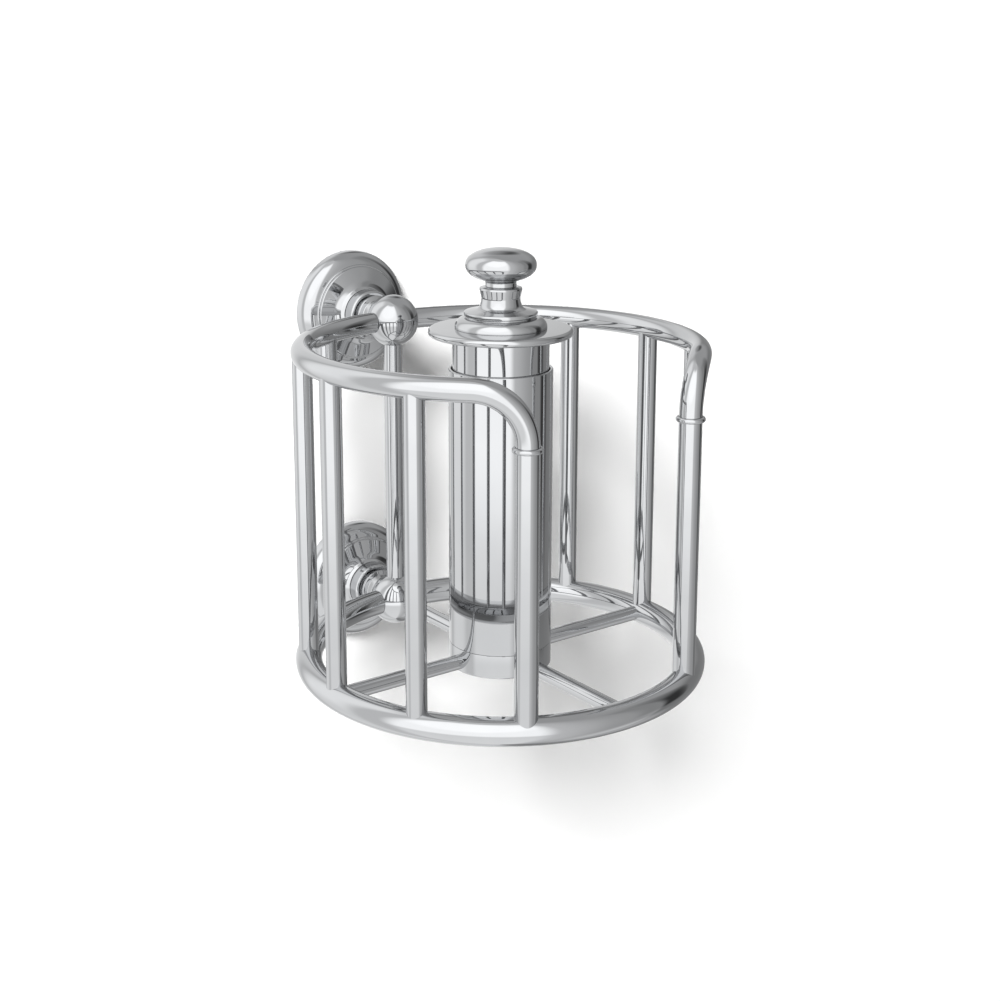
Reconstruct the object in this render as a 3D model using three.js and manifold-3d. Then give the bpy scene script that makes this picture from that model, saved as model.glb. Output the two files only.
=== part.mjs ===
// Wall-mounted cage toilet roll holder with a lift-out spindle.
// Millimetres, +Z up. The wall is the plane y = 0 and the holder stands out towards -Y.
// The origin is the centre of the upper wall plate's back face, level with the top rail.

import * as THREE from "three";
import { mergeVertices } from "three/addons/utils/BufferGeometryUtils.js";
import Module from "manifold-3d";

const wasm = await Module();
wasm.setup();

// Fits
const seatGap = 0.3; // between pieces that are soldered, screwed or pressed together
const slideGap = 0.4; // between the spindle and the roll post, on the radius

// Cage
const armReach = 35; // wall to the ball centres, which lie on the cage circle at the back
const cageRadius = 75;
const railToRing = 121.8; // top rail centre down to bottom ring centre
const barDiameter = 7.7;
const railDiameter = 8.6; // top rail and the two front posts
const ringDiameter = 10.4;
const spokeDiameter = 5.8;
const frontPostAngle = 30; // degrees from the front
const barAngles = [60, 90, 120, 150];
const railBendRadius = 19;
const railTail = 1.4; // straight end of the rail below its bend
const collarDiameter = 10.9;
const collarHeight = 2;

// Balls and arms
const ballDiameter = 21.6;
const socketEnd = 5.6; // ball centre to the end of a piece held in the ball
const armTenonDiameter = 8;
const armTailDiameter = 10;
const beadRadius = 10.4;
const beadLength = 5.3;
const grooveRadius = 7.5;
const grooveLength = 1.5;
const neckRingRadius = 8.7;
const neckRingLength = 1.2;
const neckRootRadius = 6.9;
const neckRadius = 6.3;

// Rosette
const rosetteRadius = 25.7;
const rimDepth = 2.5; // distances from the wall
const ovoloFront = 8.4;
const stepFront = 9.6;
const dishFront = 11.4;
const rosetteNose = 14;
const ovoloWidth = 5.3; // steps in from one moulding to the next
const stepWidth = 0.8;
const rosetteWall = 2.4;
const noseRadius = 10.5;

// Wall plate
const plateClearance = 1.3; // wall plate to the rosette around it
const plateThickness = 3;
const bossRadius = 9;
const bossFront = 9.5;
const plateSocketFloor = 4.5;
const wallScrewHole = 4.8;
const wallScrewSpacing = 30;
const grubDiameter = 2.4;
const grubDepth = 2; // grub screw axis to the wall
const grubSink = 0.3; // grub screw head below the rim
const grubHexDiameter = 1.3;
const grubHexDepth = 1.2;

// Roll post and hub
const postDiameter = 40;
const postWall = 1.1;
const postTop = -7.6;
const postRimBevel = 0.6;
const hubAbove = 5.4; // seam between hub and tube above the ring centre
const hubBelow = 4; // underside of the hub below the ring centre
const hubSpigot = 5.9; // length inside the tube
const hubEdge = 0.9;
const hubSocketEnd = 13.7; // spoke end to the axis
const padRadius = 14;
const padThickness = 1;

// Spindle
const spindleWall = 1.2;
const footFlange = 3.2;
const footSpigot = 7;
const plugHeight = 7.7;
const nutAcross = 11; // corner to corner
const nutHeight = 5;
const studDiameter = 6;
const studTail = 1.2; // stud end below the nut
const studTop = 30.5;

// Disc and finial, heights above the top rail
const discRadius = 27.65;
const discBottom = 5;
const discTop = 7.9;
const baseOvoloRadius = 17.6;
const baseOvoloTop = 12;
const baseStepRadius = 14;
const baseStepTop = 14.2;
const baseNeckRadius = 6.9;
const baseNeckHeight = 20.6;
const baseCollarRadius = 7.9;
const baseCollarHeight = 22.6;
const baseTop = 23.7;
const knobNeckRadius = 5.9;
const knobRadius = 13.5;
const knobCentre = 31.8;
const knobHalfHeight = 6.4;

// Fineness of the round surfaces
const wideSides = 40;
const turnedSides = 32;
const rodSides = 14;

const wallToAxis = armReach + cageRadius;
const ovoloRadius = rosetteRadius - ovoloWidth;
const middleStepRadius = ovoloRadius - stepWidth;
const stepRadius = middleStepRadius - stepWidth;
const rosetteCavityRadius = rosetteRadius - rosetteWall;
const plateRadius = rosetteCavityRadius - plateClearance;
const grubHead = rosetteRadius - grubSink;
const beadBack = rosetteNose + seatGap;
const beadFront = beadBack + beadLength;
const grooveFront = beadFront + grooveLength;
const neckRingFront = grooveFront + neckRingLength;
const backAngle = 180;
const upperLevel = 0;
const lowerLevel = -railToRing;
const hubTop = lowerLevel + hubAbove;
const hubBottom = lowerLevel - hubBelow;
const hubSpigotTop = hubTop + hubSpigot;
const toRadians = Math.PI / 180;

function finish(colour, roughness, metalness) {
  return new THREE.MeshStandardMaterial({ color: colour, roughness, metalness });
}

const chrome = finish(0xd9dcdf, 0.08, 1);
const brass = finish(0xb79a55, 0.35, 1);
const steel = finish(0x9a9d9f, 0.45, 1);
const nylon = finish(0xe6e4dc, 0.6, 0);
const rubber = finish(0x202020, 0.9, 0);

// Closed solids from the drawn shapes

function solidOf(geometry) {
  const bare = geometry.clone();
  bare.deleteAttribute("normal");
  bare.deleteAttribute("uv");
  const merged = mergeVertices(bare, 1e-4);
  const places = merged.attributes.position.array;
  const corners = merged.index.array;
  const kept = [];
  let volume = 0;
  const corner = (k) => new THREE.Vector3().fromArray(places, 3 * k);
  for (let i = 0; i < corners.length; i += 3) {
    const [a, b, c] = corners.slice(i, i + 3);
    if (a === b || b === c || c === a) continue;
    kept.push(a, b, c);
    volume += corner(a).dot(corner(b).cross(corner(c)));
  }
  if (volume < 0) {
    kept.reverse();
  }
  const mesh = new wasm.Mesh({
    numProp: 3,
    vertProperties: new Float32Array(places),
    triVerts: new Uint32Array(kept),
  });
  return new wasm.Manifold(mesh);
}

function turned(profile, sides) {
  const points = profile.map(([radius, height]) => new THREE.Vector2(radius, height));
  return new THREE.LatheGeometry(points, sides);
}

// A turned piece standing on the cage axis; the profile is radius and height.
function turnedUpright(profile, sides, x = 0, y = -wallToAxis) {
  return solidOf(turned(profile, sides).rotateX(Math.PI / 2).translate(x, y, 0));
}

// A turned piece standing out from the wall; the profile is radius and distance from the wall.
function turnedFromWall(profile, sides, level) {
  return solidOf(turned(profile, sides).rotateX(Math.PI).translate(0, 0, level));
}

function closed(profile) {
  return [...profile, profile[0]];
}

function rod(start, end, diameter, sides = rodSides) {
  const along = new THREE.Vector3().subVectors(end, start);
  const shape = new THREE.CylinderGeometry(diameter / 2, diameter / 2, along.length(), sides);
  const turn = new THREE.Quaternion();
  turn.setFromUnitVectors(new THREE.Vector3(0, 1, 0), along.clone().normalize());
  const middle = new THREE.Vector3().addVectors(start, end).multiplyScalar(0.5);
  return solidOf(shape.applyQuaternion(turn).translate(middle.x, middle.y, middle.z));
}

class BentPath extends THREE.Curve {
  constructor(place) {
    super();
    this.place = place;
  }

  getPoint(t) {
    return this.place(t);
  }
}

function bentRod(place, diameter, steps, sides = rodSides) {
  const outline = [];
  for (let i = 0; i < sides; i += 1) {
    const turn = (2 * Math.PI * (i + 0.5)) / sides;
    outline.push(new THREE.Vector2(Math.cos(turn), Math.sin(turn)).multiplyScalar(diameter / 2));
  }
  const shape = new THREE.Shape(outline);
  const path = new BentPath(place);
  return solidOf(new THREE.ExtrudeGeometry(shape, { steps, extrudePath: path, bevelEnabled: false }));
}

// A place on the cage, by the angle in degrees from the front.
function onCage(angle, level, radius = cageRadius) {
  const turn = angle * toRadians;
  return new THREE.Vector3(radius * Math.sin(turn), -wallToAxis - radius * Math.cos(turn), level);
}

function ballAt(level, diameter) {
  const place = onCage(backAngle, level);
  const sphere = new THREE.SphereGeometry(diameter / 2, 24, 16);
  return solidOf(sphere.rotateX(Math.PI / 2).translate(place.x, place.y, place.z));
}

const holder = new THREE.Group();
holder.name = "toilet_roll_holder";

function addPiece(name, solid, material) {
  const { vertProperties, triVerts } = solid.getMesh();
  const geometry = new THREE.BufferGeometry();
  geometry.setAttribute("position", new THREE.BufferAttribute(new Float32Array(vertProperties), 3));
  geometry.setIndex(new THREE.BufferAttribute(new Uint32Array(triVerts), 1));
  geometry.computeVertexNormals();
  const mesh = new THREE.Mesh(geometry, material.clone());
  mesh.name = name;
  holder.add(mesh);
}

// Rails and ring: the rail runs from the upper ball to the front and bends down into a post.

const socketAngle = socketEnd / cageRadius / toRadians;
const bendAngle = railBendRadius / cageRadius / toRadians;
const bendStart = frontPostAngle + bendAngle;
const railArc = (backAngle - socketAngle - bendStart) * toRadians * cageRadius;
const railBend = (railBendRadius * Math.PI) / 2;
const railEnd = -railBendRadius - railTail;

function railPlace(side, fraction) {
  const reach = fraction * (railArc + railBend + railTail);
  if (reach <= railArc) {
    return onCage(side * (backAngle - socketAngle - reach / cageRadius / toRadians), upperLevel);
  }
  if (reach <= railArc + railBend) {
    const turn = (reach - railArc) / railBendRadius;
    const angle = bendStart - bendAngle * Math.sin(turn);
    return onCage(side * angle, -railBendRadius * (1 - Math.cos(turn)));
  }
  return onCage(side * frontPostAngle, -railBendRadius - (reach - railArc - railBend));
}

function topRail(side, diameter) {
  return bentRod((t) => railPlace(side, t), diameter, 34);
}

const ringStart = -backAngle + socketAngle;
const ringSpan = 2 * (backAngle - socketAngle);

function bottomRing(diameter) {
  return bentRod((t) => onCage(ringStart + ringSpan * t, lowerLevel), diameter, 64);
}

const ringSolid = bottomRing(ringDiameter);
const ringCut = bottomRing(ringDiameter + 2 * seatGap);
const sides = { left: -1, right: 1 };

addPiece("bottom_ring", ringSolid, chrome);

for (const [hand, side] of Object.entries(sides)) {
  const railCut = topRail(side, railDiameter + 2 * seatGap);
  addPiece(`top_rail_${hand}`, topRail(side, railDiameter), chrome);

  for (const angle of barAngles) {
    const bar = rod(onCage(side * angle, upperLevel), onCage(side * angle, lowerLevel), barDiameter);
    addPiece(`cage_bar_${hand}_${angle}`, bar.subtract(railCut).subtract(ringCut), chrome);
  }

  const head = onCage(side * frontPostAngle, railEnd - seatGap);
  const foot = onCage(side * frontPostAngle, lowerLevel);
  addPiece(`front_post_${hand}`, rod(head, foot, railDiameter).subtract(ringCut), chrome);

  const collarBore = railDiameter / 2 + seatGap;
  const collarOuter = collarDiameter / 2;
  const collarEdge = collarOuter - 0.5;
  const collarTop = railEnd + collarHeight / 2;
  const collarFoot = railEnd - collarHeight / 2;
  const collarProfile = closed([
    [collarBore, collarFoot],
    [collarEdge, collarFoot],
    [collarOuter - 0.1, railEnd - collarHeight / 4],
    [collarOuter, railEnd],
    [collarOuter - 0.1, railEnd + collarHeight / 4],
    [collarEdge, collarTop],
    [collarBore, collarTop],
  ]);
  addPiece(`post_collar_${hand}`, turnedUpright(collarProfile, 20, head.x, head.y), chrome);
}

// Hub, spokes and roll post

const postRadius = postDiameter / 2;
const postBore = postRadius - postWall;
const hubSpigotRadius = postBore - seatGap;
const hubProfile = [
  [0, hubBottom],
  [postRadius - hubEdge, hubBottom],
  [postRadius, hubBottom + hubEdge],
  [postRadius, hubTop],
  [hubSpigotRadius, hubTop],
  [hubSpigotRadius, hubSpigotTop],
  [0, hubSpigotTop],
];
let hub = turnedUpright(hubProfile, wideSides);

const spokeAngles = { front: 0, right: 90, back: backAngle, left: -90 };
let lowerBallCut = ringCut;

for (const [name, angle] of Object.entries(spokeAngles)) {
  const inner = onCage(angle, lowerLevel, hubSocketEnd);
  const outer = onCage(angle, lowerLevel, angle === backAngle ? cageRadius - socketEnd : cageRadius);
  const bore = onCage(angle, lowerLevel, hubSocketEnd - seatGap);
  const holeEnd = onCage(angle, lowerLevel, cageRadius - socketEnd + seatGap);
  const hole = rod(bore, holeEnd, spokeDiameter + 2 * seatGap);
  hub = hub.subtract(hole);
  if (angle === backAngle) {
    lowerBallCut = lowerBallCut.add(hole);
    addPiece(`spoke_${name}`, rod(inner, outer, spokeDiameter), chrome);
  } else {
    addPiece(`spoke_${name}`, rod(inner, outer, spokeDiameter).subtract(ringCut), chrome);
  }
}

addPiece("post_hub", hub, chrome);

const postFoot = hubTop + seatGap;
const postProfile = closed([
  [postBore, postFoot],
  [postRadius, postFoot],
  [postRadius, postTop - postRimBevel],
  [postRadius - postRimBevel, postTop],
  [postBore, postTop],
]);
addPiece("roll_post", turnedUpright(postProfile, wideSides), chrome);

const padBottom = hubSpigotTop + seatGap;
const padTop = padBottom + padThickness;
const padProfile = [
  [0, padBottom],
  [padRadius, padBottom],
  [padRadius, padTop],
  [0, padTop],
];
addPiece("post_pad", turnedUpright(padProfile, turnedSides), rubber);

// Wall mounts, with a socket cut in each ball for whatever ends in it

const backBarTop = upperLevel - socketEnd;
const backBarFoot = lowerLevel + socketEnd;
const barHole = rod(
  onCage(backAngle, backBarTop + seatGap),
  onCage(backAngle, backBarFoot - seatGap),
  barDiameter + 2 * seatGap,
);
const railHoles = topRail(-1, railDiameter + 2 * seatGap).add(topRail(1, railDiameter + 2 * seatGap));
const backBar = rod(onCage(backAngle, backBarTop), onCage(backAngle, backBarFoot), barDiameter);
addPiece("back_bar", backBar, chrome);

const tenonEnd = armReach - socketEnd;
const armTailRadius = armTailDiameter / 2;
const armTailEnd = plateSocketFloor + seatGap;
const plateSocketRadius = armTailRadius + seatGap;
const noseBore = armTailRadius + seatGap;

const armProfile = [
  [0, armTailEnd],
  [armTailRadius, armTailEnd],
  [armTailRadius, beadBack],
  [beadRadius - 0.3, beadBack],
  [beadRadius, beadBack + 0.3],
  [beadRadius, beadFront - 0.9],
  [beadRadius - 0.9, beadFront],
  [grooveRadius, beadFront],
  [grooveRadius, grooveFront],
  [neckRingRadius - 0.3, grooveFront],
  [neckRingRadius, grooveFront + 0.4],
  [neckRingRadius - 0.3, neckRingFront],
  [neckRootRadius, neckRingFront + 0.4],
  [neckRadius, neckRingFront + 2],
  [neckRadius, armReach - ballDiameter / 4],
  [0, armReach - ballDiameter / 4],
];

const ovoloTurns = [18, 36, 54, 72];
const ovoloCurve = ovoloTurns.map((turn) => [
  ovoloRadius + ovoloWidth * Math.cos(turn * toRadians),
  rimDepth + (ovoloFront - rimDepth) * Math.sin(turn * toRadians),
]);
const rosetteProfile = closed([
  [rosetteCavityRadius, 0],
  [rosetteRadius, 0],
  [rosetteRadius, rimDepth],
  ...ovoloCurve,
  [ovoloRadius, ovoloFront],
  [ovoloRadius - 0.1, (ovoloFront + stepFront) / 2],
  [middleStepRadius, (ovoloFront + stepFront) / 2],
  [middleStepRadius - 0.1, stepFront - 0.1],
  [stepRadius, stepFront],
  [noseRadius + 2.9, dishFront],
  [noseRadius + 0.7, rosetteNose - 1.3],
  [noseRadius, rosetteNose],
  [noseBore, rosetteNose],
  [noseBore, bossFront + 1.9],
  [bossRadius + 2, bossFront + 1.2],
  [stepRadius - 0.8, ovoloFront - 0.3],
  [plateRadius + 0.2, ovoloFront - rosetteWall - 0.5],
]);

const plateProfile = [
  [0, 0],
  [plateRadius, 0],
  [plateRadius, plateThickness],
  [bossRadius, plateThickness],
  [bossRadius, bossFront],
  [plateSocketRadius, bossFront],
  [plateSocketRadius, plateSocketFloor],
  [0, plateSocketFloor],
];

const mounts = { upper: upperLevel, lower: lowerLevel };

for (const [name, level] of Object.entries(mounts)) {
  const fromWall = (x, depth, drop = 0) => new THREE.Vector3(x, -depth, level - drop);

  let plate = turnedFromWall(plateProfile, turnedSides, level);
  for (const side of Object.values(sides)) {
    const x = (side * wallScrewSpacing) / 2;
    plate = plate.subtract(rod(fromWall(x, -1), fromWall(x, plateThickness + 1), wallScrewHole));
  }
  addPiece(`${name}_wall_plate`, plate, steel);

  const grubTip = plateRadius + seatGap;
  const grubHole = rod(
    fromWall(0, grubDepth, plateRadius),
    fromWall(0, grubDepth, rosetteRadius + 1),
    grubDiameter + 2 * seatGap,
    8,
  );
  const rosette = turnedFromWall(rosetteProfile, turnedSides, level);
  addPiece(`${name}_rosette`, rosette.subtract(grubHole), chrome);

  const grub = rod(fromWall(0, grubDepth, grubTip), fromWall(0, grubDepth, grubHead), grubDiameter, 8);
  const grubHex = rod(
    fromWall(0, grubDepth, grubHead - grubHexDepth),
    fromWall(0, grubDepth, grubHead + 1),
    grubHexDiameter,
    6,
  );
  addPiece(`${name}_grub_screw`, grub.subtract(grubHex), steel);

  const tenon = rod(fromWall(0, beadFront), fromWall(0, tenonEnd), armTenonDiameter);
  const tenonHole = rod(
    fromWall(0, beadFront),
    fromWall(0, tenonEnd + seatGap),
    armTenonDiameter + 2 * seatGap,
  );
  const neck = turnedFromWall(armProfile, turnedSides, level);
  const arm = neck.subtract(ballAt(level, ballDiameter + 2 * seatGap)).add(tenon);
  addPiece(`${name}_arm`, arm, chrome);

  const held = name === "upper" ? railHoles : lowerBallCut;
  const ball = ballAt(level, ballDiameter).subtract(held).subtract(barHole).subtract(tenonHole);
  addPiece(`${name}_ball`, ball, chrome);
}

// Spindle: a plastic foot on the pad, a tube, the disc and the turned finial

const spindleRadius = postBore - slideGap;
const spindleBore = spindleRadius - spindleWall;
const plugRadius = spindleBore - seatGap;
const footBottom = padTop + seatGap;
const footTop = footBottom + footFlange;
const footProfile = [
  [0, footBottom],
  [spindleRadius - 0.8, footBottom],
  [spindleRadius, footBottom + 0.8],
  [spindleRadius, footTop],
  [plugRadius, footTop],
  [plugRadius, footTop + footSpigot],
  [0, footTop + footSpigot],
];
addPiece("glide_foot", turnedUpright(footProfile, wideSides), nylon);

const tubeTop = discBottom - seatGap;
const tubeProfile = closed([
  [spindleBore, footTop + seatGap],
  [spindleRadius, footTop + seatGap],
  [spindleRadius, tubeTop],
  [spindleBore, tubeTop],
]);
addPiece("spindle_tube", turnedUpright(tubeProfile, wideSides), chrome);

const studRadius = studDiameter / 2;
const studBore = studRadius + seatGap;
const plugBottom = tubeTop - plugHeight;
const plugProfile = closed([
  [studBore, plugBottom],
  [plugRadius, plugBottom],
  [plugRadius, tubeTop],
  [studBore, tubeTop],
]);
addPiece("spindle_plug", turnedUpright(plugProfile, turnedSides), brass);

const nutTop = plugBottom - seatGap;
const nutBottom = nutTop - nutHeight;
const nutProfile = [
  [0, nutBottom],
  [nutAcross / 2, nutBottom],
  [nutAcross / 2, nutTop],
  [0, nutTop],
];
const nutHole = rod(onCage(0, nutBottom - 1, 0), onCage(0, nutTop + 1, 0), 2 * studBore, 12);
addPiece("spindle_nut", turnedUpright(nutProfile, 6).subtract(nutHole), brass);

const studBottom = nutBottom - studTail;
const stud = rod(onCage(0, studBottom, 0), onCage(0, studTop, 0), studDiameter, 12);
addPiece("finial_stud", stud, steel);

const discEdge = (discTop - discBottom) / 2;
const discProfile = closed([
  [studBore, discBottom],
  [discRadius - discEdge, discBottom],
  [discRadius - 0.4, discBottom + 0.5],
  [discRadius, discBottom + discEdge],
  [discRadius - 0.4, discTop - 0.5],
  [discRadius - discEdge, discTop],
  [studBore, discTop],
]);
addPiece("spindle_disc", turnedUpright(discProfile, wideSides), chrome);

const baseBottom = discTop + seatGap;
const baseProfile = closed([
  [studBore, baseBottom],
  [baseOvoloRadius - 0.3, baseBottom],
  [baseOvoloRadius, baseBottom + 0.8],
  [baseOvoloRadius - 0.8, baseOvoloTop - 1.5],
  [baseOvoloRadius - 2.4, baseOvoloTop - 0.3],
  [baseStepRadius - 0.4, baseOvoloTop],
  [baseStepRadius, baseOvoloTop + 0.6],
  [baseStepRadius, baseStepTop],
  [baseStepRadius - 2.3, baseStepTop + 0.9],
  [baseStepRadius - 4.6, baseStepTop + 1.9],
  [baseNeckRadius + 0.9, baseStepTop + 3.2],
  [baseNeckRadius, baseNeckHeight - 1.2],
  [baseNeckRadius, baseNeckHeight],
  [baseCollarRadius, baseCollarHeight - 0.8],
  [baseCollarRadius, baseCollarHeight + 0.5],
  [baseCollarRadius - 1, baseTop],
  [studBore, baseTop],
]);
addPiece("finial_base", turnedUpright(baseProfile, turnedSides), chrome);

const knobFoot = baseTop + seatGap;
const knobCurve = [];
for (let turn = -60; turn <= 75; turn += 15) {
  const across = knobRadius * Math.cos(turn * toRadians);
  knobCurve.push([across, knobCentre + knobHalfHeight * Math.sin(turn * toRadians)]);
}
const knobProfile = [
  [0, knobFoot],
  [knobNeckRadius, knobFoot],
  [knobNeckRadius, knobFoot + 1.5],
  ...knobCurve,
  [0, knobCentre + knobHalfHeight],
];
const knobHole = rod(onCage(0, knobFoot - 1, 0), onCage(0, studTop + seatGap, 0), 2 * studBore, 12);
addPiece("finial_knob", turnedUpright(knobProfile, turnedSides).subtract(knobHole), chrome);

export default holder;
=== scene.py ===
# %% [markdown]
# # A chrome cage that keeps spare toilet rolls
# The holder hangs on a wall by two turned roses. Each rose carries a short arm with a ball, and
# the balls hold a round cage of polished rod with a post in its middle. A spindle with a wide disc
# and a turned knob drops into the post and lifts out again, so that rolls can be stacked on it.
#
# The solids are already measured and packed. This lesson loads them, models a smooth polished piece
# over each solid that shows, gives the hidden ones their finishes, and lights the whole holder.

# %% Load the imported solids
from math import acos, ceil, cos, pi, radians, sin, tan

import bpy
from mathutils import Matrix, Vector


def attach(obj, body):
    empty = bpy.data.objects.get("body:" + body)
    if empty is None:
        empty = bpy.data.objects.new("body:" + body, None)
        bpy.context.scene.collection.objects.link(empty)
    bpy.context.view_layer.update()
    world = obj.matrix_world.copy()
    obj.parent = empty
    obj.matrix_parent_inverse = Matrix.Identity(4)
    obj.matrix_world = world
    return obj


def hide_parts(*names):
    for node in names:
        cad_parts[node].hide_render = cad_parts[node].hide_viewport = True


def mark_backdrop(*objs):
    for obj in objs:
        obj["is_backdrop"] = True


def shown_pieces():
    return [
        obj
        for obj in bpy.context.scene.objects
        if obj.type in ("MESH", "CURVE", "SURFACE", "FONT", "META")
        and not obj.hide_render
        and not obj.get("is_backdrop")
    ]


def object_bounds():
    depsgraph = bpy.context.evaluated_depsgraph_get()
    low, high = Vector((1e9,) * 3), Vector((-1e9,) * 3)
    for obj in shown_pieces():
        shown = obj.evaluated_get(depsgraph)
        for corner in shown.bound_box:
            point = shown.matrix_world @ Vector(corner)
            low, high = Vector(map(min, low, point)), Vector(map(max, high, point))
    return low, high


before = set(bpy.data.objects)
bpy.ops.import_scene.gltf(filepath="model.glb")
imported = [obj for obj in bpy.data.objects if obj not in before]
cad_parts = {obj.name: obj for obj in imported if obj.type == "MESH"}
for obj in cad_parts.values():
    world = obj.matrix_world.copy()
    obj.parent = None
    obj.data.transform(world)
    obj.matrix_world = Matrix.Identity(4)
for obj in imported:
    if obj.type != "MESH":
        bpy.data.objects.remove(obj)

cad_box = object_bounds()

# %% [markdown]
# ## Where things are
# Blender works in metres, and a maker thinks of a holder this small in millimetres, so every size
# below is in millimetres and is turned into metres once, when a place is worked out. The cage is
# round, so a place on it is easiest to give by an angle: 0 is the front and 180 is at the wall.

# %% Shared measures
MM = 0.001
AXIS_DEPTH = 110.0
CAGE_RADIUS = 75.0
RAIL_LEVEL = 0.0
RING_LEVEL = -121.8
CAGE_AXIS = Vector((0.0, -AXIS_DEPTH, 0.0)) * MM


def on_cage(angle, level, radius=CAGE_RADIUS):
    """A place round the cage axis, by its angle in degrees from the front."""
    turn = radians(angle)
    return Vector((radius * sin(turn), -AXIS_DEPTH - radius * cos(turn), level)) * MM


def pick(piece):
    """Selects one piece and nothing else."""
    bpy.ops.object.select_all(action="DESELECT")
    if piece is not None:
        piece.select_set(True)
        bpy.context.view_layer.objects.active = piece


print("front of the cage:", [round(c, 4) for c in on_cage(0, RAIL_LEVEL)])

# %% [markdown]
# ## The camera
# The picture was taken from the left and a little above, with upright lines that stay almost upright.
# A camera does that when it looks nearly level and its film is shifted down, so part of the tilt is
# given as a small shift and the rest as a real tilt.

# %% Set up the camera
camera_data = bpy.data.cameras.new("picture_camera")
camera = bpy.data.objects.new("picture_camera", camera_data)
bpy.context.scene.collection.objects.link(camera)
CAMERA_TILT = 12.17
CAMERA_TURN = -36.31
camera_data.sensor_width = 36.0
camera_data.lens = 56.62
camera_data.shift_x = 0.0187
camera_data.shift_y = -0.12
camera.location = (-0.3530, -0.5779, 0.1138)
camera.rotation_euler = (radians(90 - CAMERA_TILT), 0.0, radians(CAMERA_TURN))
bpy.context.scene.camera = camera
bpy.context.scene.view_settings.view_transform = "Standard"
print("camera is", round((camera.location - CAGE_AXIS).length, 3), "m from the cage axis")

# %% [markdown]
# ## Two effects that the finishes share
# Polished plating is never quite even: it has faint clouds where the polishing wheel pressed harder,
# and very fine lines that run the way the wheel or the lathe went. Both are node groups, built once
# and given different values in each finish. The clouds come from a wide noise that shifts the colour
# and the gloss together.

# %% Build the clouds
def new_group(name, takes, gives):
    """An empty node group with named sockets, and its two end nodes."""
    group = bpy.data.node_groups.new(name, "ShaderNodeTree")
    for label, kind in takes.items():
        group.interface.new_socket(label, in_out="INPUT", socket_type=kind)
    for label, kind in gives.items():
        group.interface.new_socket(label, in_out="OUTPUT", socket_type=kind)
    return group, group.nodes.new("NodeGroupInput"), group.nodes.new("NodeGroupOutput")


clouds, given, made = new_group(
    "polish_clouds",
    {
        "Place": "NodeSocketVector",
        "Cloud Scale": "NodeSocketFloat",
        "Bright": "NodeSocketColor",
        "Deep": "NodeSocketColor",
        "Mirror": "NodeSocketFloat",
        "Haze": "NodeSocketFloat",
    },
    {"Colour": "NodeSocketColor", "Roughness": "NodeSocketFloat"},
)
wide_noise = clouds.nodes.new("ShaderNodeTexNoise")
wide_noise.inputs["Detail"].default_value = 3.0
tint = clouds.nodes.new("ShaderNodeMix")
tint.data_type = "RGBA"
haze = clouds.nodes.new("ShaderNodeMapRange")
haze.inputs["From Min"].default_value = 0.3
haze.inputs["From Max"].default_value = 0.7
clouds.links.new(given.outputs["Place"], wide_noise.inputs["Vector"])
clouds.links.new(given.outputs["Cloud Scale"], wide_noise.inputs["Scale"])
clouds.links.new(wide_noise.outputs["Fac"], tint.inputs[0])
clouds.links.new(given.outputs["Bright"], tint.inputs[6])
clouds.links.new(given.outputs["Deep"], tint.inputs[7])
clouds.links.new(wide_noise.outputs["Fac"], haze.inputs["Value"])
clouds.links.new(given.outputs["Mirror"], haze.inputs["To Min"])
clouds.links.new(given.outputs["Haze"], haze.inputs["To Max"])
clouds.links.new(tint.outputs[2], made.inputs["Colour"])
clouds.links.new(haze.outputs["Result"], made.inputs["Roughness"])
print("effect:", clouds.name)

# %% [markdown]
# The fine lines are noise too. It is squeezed hard across the lines and hardly along them, which draws
# the specks out into streaks, and only its height is used, to tilt the surface a very little.

# %% Build the fine lines
lines, given, made = new_group(
    "fine_lines",
    {"Place": "NodeSocketVector", "Stretch": "NodeSocketVector"},
    {"Height": "NodeSocketFloat"},
)
stretched = lines.nodes.new("ShaderNodeVectorMath")
stretched.operation = "MULTIPLY"
line_noise = lines.nodes.new("ShaderNodeTexNoise")
line_noise.inputs["Scale"].default_value = 1.0
line_noise.inputs["Detail"].default_value = 2.0
lines.links.new(given.outputs["Place"], stretched.inputs[0])
lines.links.new(given.outputs["Stretch"], stretched.inputs[1])
lines.links.new(stretched.outputs["Vector"], line_noise.inputs["Vector"])
lines.links.new(line_noise.outputs["Fac"], made.inputs["Height"])
print("effect:", lines.name)

# %% [markdown]
# ## Chrome
# Nearly everything that shows is chrome plate, a mirror that is a little darker than silver. It gets
# three versions, which differ in the way their fine lines run: rod, pieces turned on a lathe, and
# tube. One helper mixes them all, so that they stay one family.

# %% Mix the chrome
LINE_DEPTH = 0.02
METAL = 1.0
NOT_METAL = 0.0


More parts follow.
